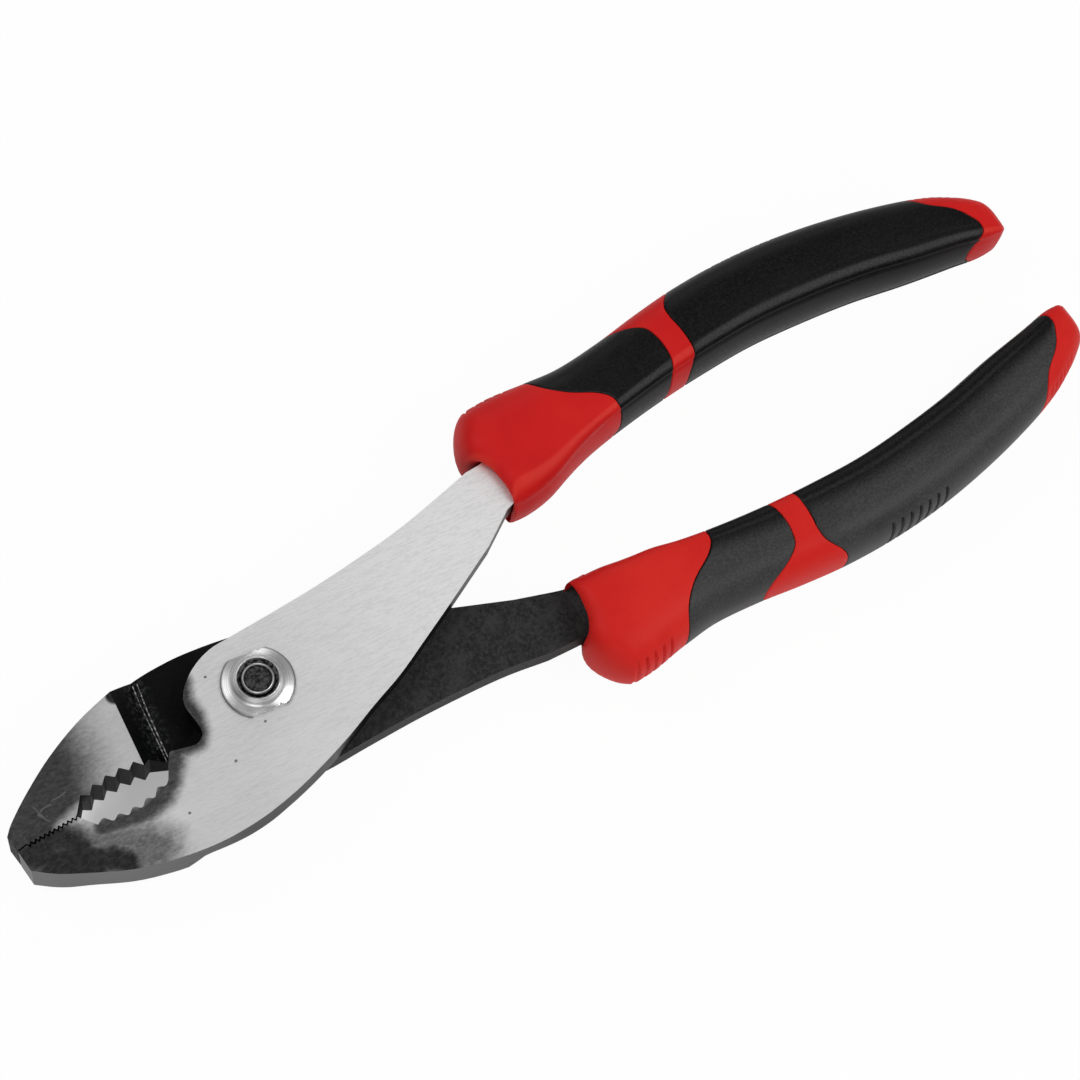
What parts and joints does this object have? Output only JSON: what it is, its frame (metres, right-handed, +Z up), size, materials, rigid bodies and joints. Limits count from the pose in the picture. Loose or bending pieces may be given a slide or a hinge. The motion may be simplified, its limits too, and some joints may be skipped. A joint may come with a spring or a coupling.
{
  "type": "slip joint pliers",
  "caption": "Slip joint pliers with toothed jaws, a pipe grip, a bolted slip pivot and two-shot comfort grips on both handles.",
  "frame": {"origin": "centre of the bolt head's flat end, on the pivot axis, where the tool rests", "axes": "+X from the pivot towards the handle ends, +Y towards the upper handle, +Z up along the pivot through the nut"},
  "size_m": [0.2036, 0.0572, 0.0156],
  "materials": {
    "brushed_steel": "ground and brushed, dark scale left at the nose",
    "black_oxide_steel": "black oxide forging",
    "bolt_steel": "dark turned steel",
    "nickel_plate": "bright nickel plate",
    "hard_red": "satin moulded red",
    "soft_black": "soft matt overmould"
  },
  "bodies": {
    "upper_half": {"upper_lever": "brushed_steel", "pivot_nut": "nickel_plate", "upper_grip_core": "hard_red", "upper_grip_neck_sleeve": "soft_black", "upper_grip_main_sleeve": "soft_black"},
    "pivot": {"pivot_bolt": "bolt_steel"},
    "lower_half": {"lower_lever": "black_oxide_steel", "lower_grip_core": "hard_red", "lower_grip_neck_sleeve": "soft_black", "lower_grip_main_sleeve": "soft_black"}
  },
  "joints": [
    {"name": "jaw_opening", "type": "hinge", "parent": "upper_half", "child": "pivot", "pos_m": [0, 0, 0.0078], "axis": [0, 0, -1], "range_deg": [0, 50]},
    {"name": "jaw_slip", "type": "slide", "parent": "pivot", "child": "lower_half", "axis": [-0.2588, 0.9659, 0], "range_m": [0, 0.008]}
  ]
}
